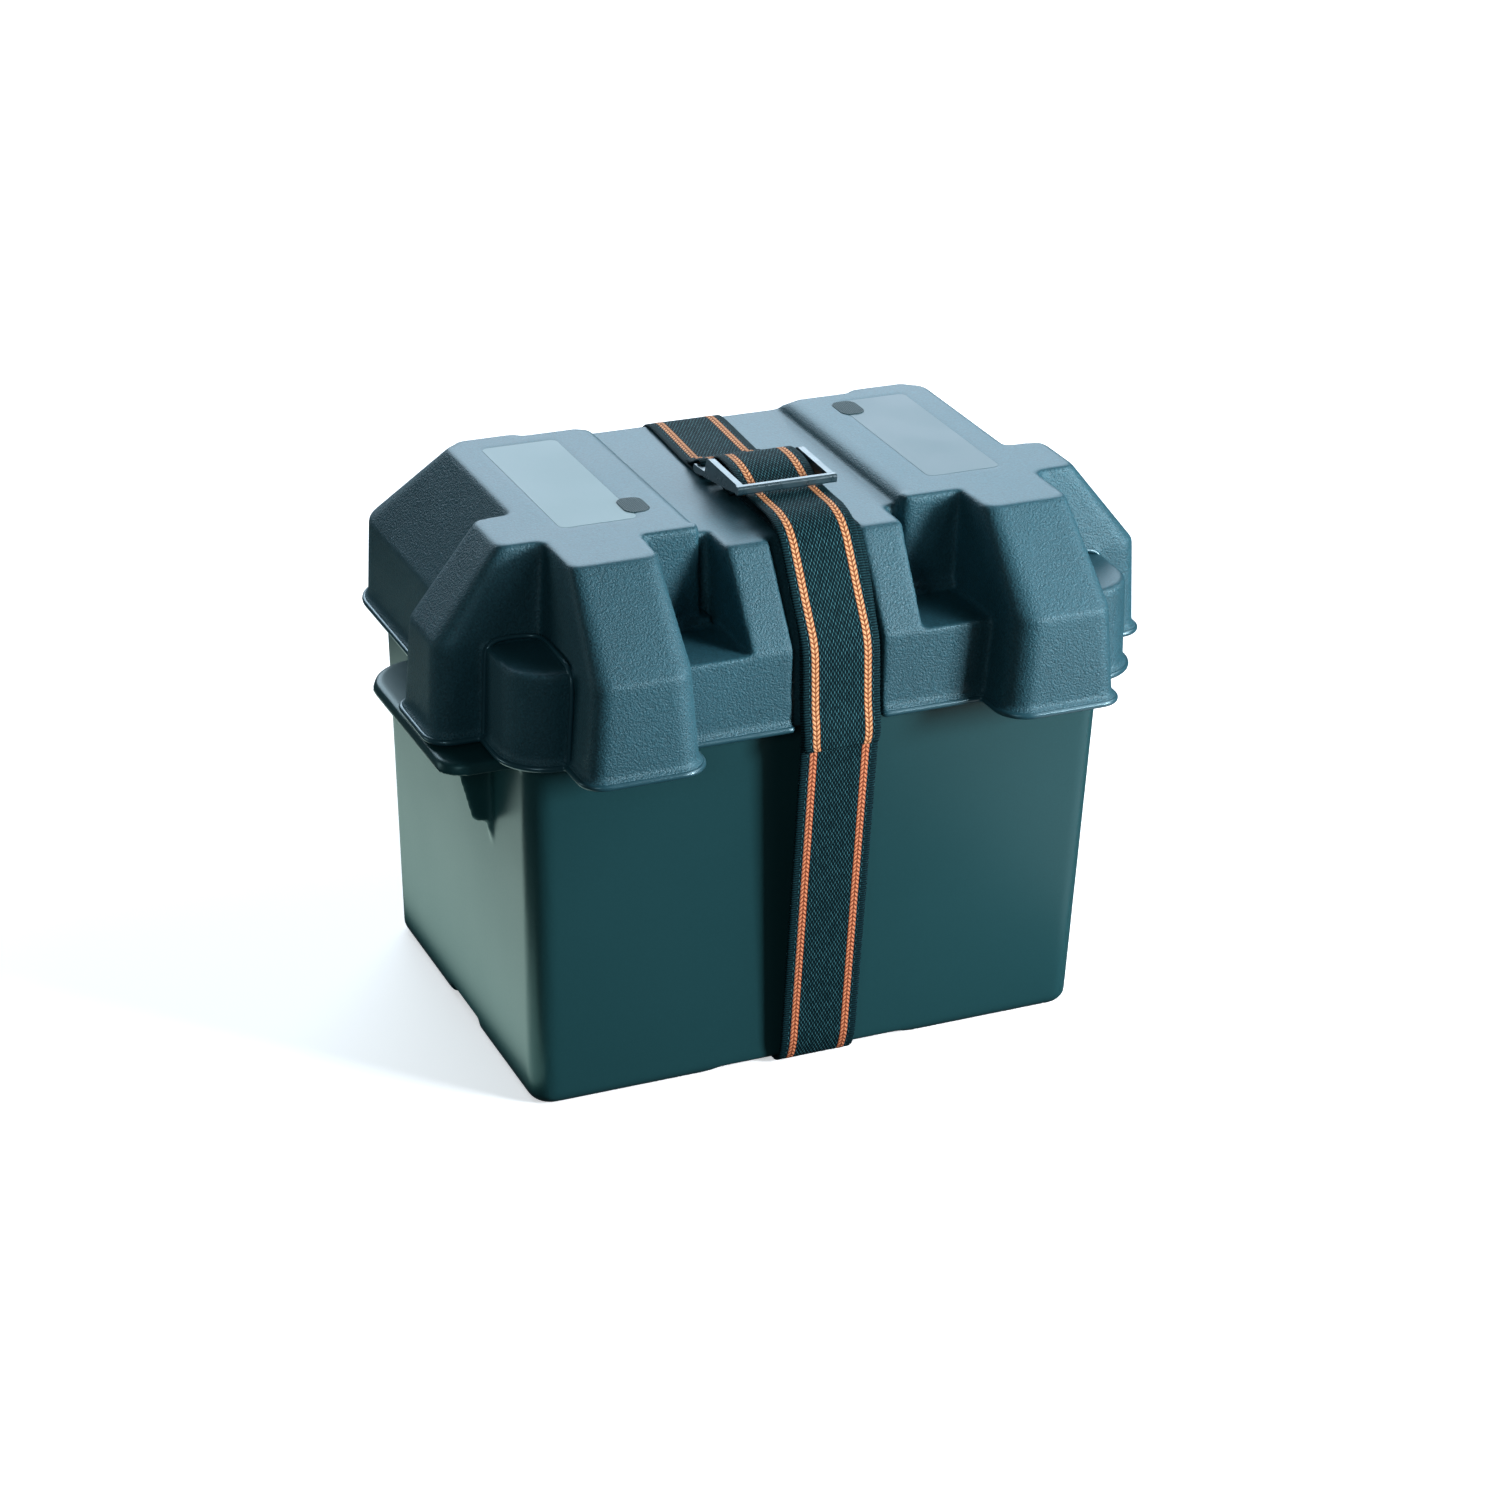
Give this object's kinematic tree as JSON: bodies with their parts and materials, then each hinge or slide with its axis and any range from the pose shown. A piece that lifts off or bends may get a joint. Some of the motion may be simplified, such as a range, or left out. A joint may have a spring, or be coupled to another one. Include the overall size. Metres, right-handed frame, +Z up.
{
  "type": "deep cycle battery in a strapped battery box",
  "caption": "Moulded battery box with a lift-off lid, cable columns, end handles and a webbing hold-down strap with slider, holding a lead-acid deep cycle battery.",
  "frame": {"origin": "under the middle of the overall footprint, on the plane of the tub's feet", "axes": "+X along the length, -Y is the front with the strap's tail, +Z up"},
  "size_m": [0.35, 0.249, 0.2683],
  "materials": {
    "tub_plastic": "black moulded polypropylene, smooth satin",
    "lid_plastic": "black moulded polypropylene with a fine leather grain",
    "webbing": "black woven polypropylene webbing with two orange stripes",
    "slider_plastic": "black acetal, glossy",
    "battery_plastic": "dark grey polypropylene battery case",
    "cover_plastic": "grey polypropylene cover",
    "cap_plastic": "black polypropylene",
    "positive_paste": "brown lead dioxide on a lead grid",
    "negative_paste": "grey sponge lead on a lead grid",
    "separator": "ribbed polyethylene separator",
    "lead": "cast lead",
    "stainless": "stainless steel",
    "seal_rubber": "black rubber"
  },
  "bodies": {
    "box": {"box_body": "tub_plastic", "strap_lower": "webbing", "battery_case": "battery_plastic", "battery_cover": "cover_plastic", "positive_plates": "positive_paste", "negative_plates": "negative_paste", "plate_separators": "separator", "positive_cell_bars": "lead", "negative_cell_bars": "lead", "cell_connectors": "lead", "positive_post": "lead", "negative_post": "lead", "terminal_studs": "stainless", "terminal_washers": "stainless", "vent_seals": "seal_rubber"},
    "lid": {"lid": "lid_plastic", "strap_front": "webbing", "strap_rear": "webbing", "strap_tail": "webbing"},
    "slider": {"strap_slider": "slider_plastic", "strap_fold": "webbing"},
    "vent_left": {"vent_cap_left": "cap_plastic"},
    "vent_right": {"vent_cap_right": "cap_plastic"},
    "positive_nut": {"positive_wing_nut": "stainless"},
    "negative_nut": {"negative_wing_nut": "stainless"}
  },
  "joints": [
    {"name": "lid_lift", "type": "slide", "parent": "box", "child": "lid", "axis": [0, 0, 1], "range_m": [0, 0.06]},
    {"name": "slider_tilt", "type": "hinge", "parent": "lid", "child": "slider", "pos_m": [0, 0.0108, 0.2572], "axis": [-1, 0, 0], "range_deg": [0, 25]},
    {"name": "vent_left_lift", "type": "slide", "parent": "box", "child": "vent_left", "axis": [0, 0, 1], "range_m": [0, 0.014]},
    {"name": "vent_right_lift", "type": "slide", "parent": "box", "child": "vent_right", "axis": [0, 0, 1], "range_m": [0, 0.014]},
    {"name": "positive_nut_turn", "type": "hinge", "parent": "box", "child": "positive_nut", "pos_m": [0.096, -0.0442, 0.235], "axis": [0, 0, 1], "continuous": true},
    {"name": "negative_nut_turn", "type": "hinge", "parent": "box", "child": "negative_nut", "pos_m": [-0.096, -0.0442, 0.235], "axis": [0, 0, 1], "continuous": true}
  ]
}
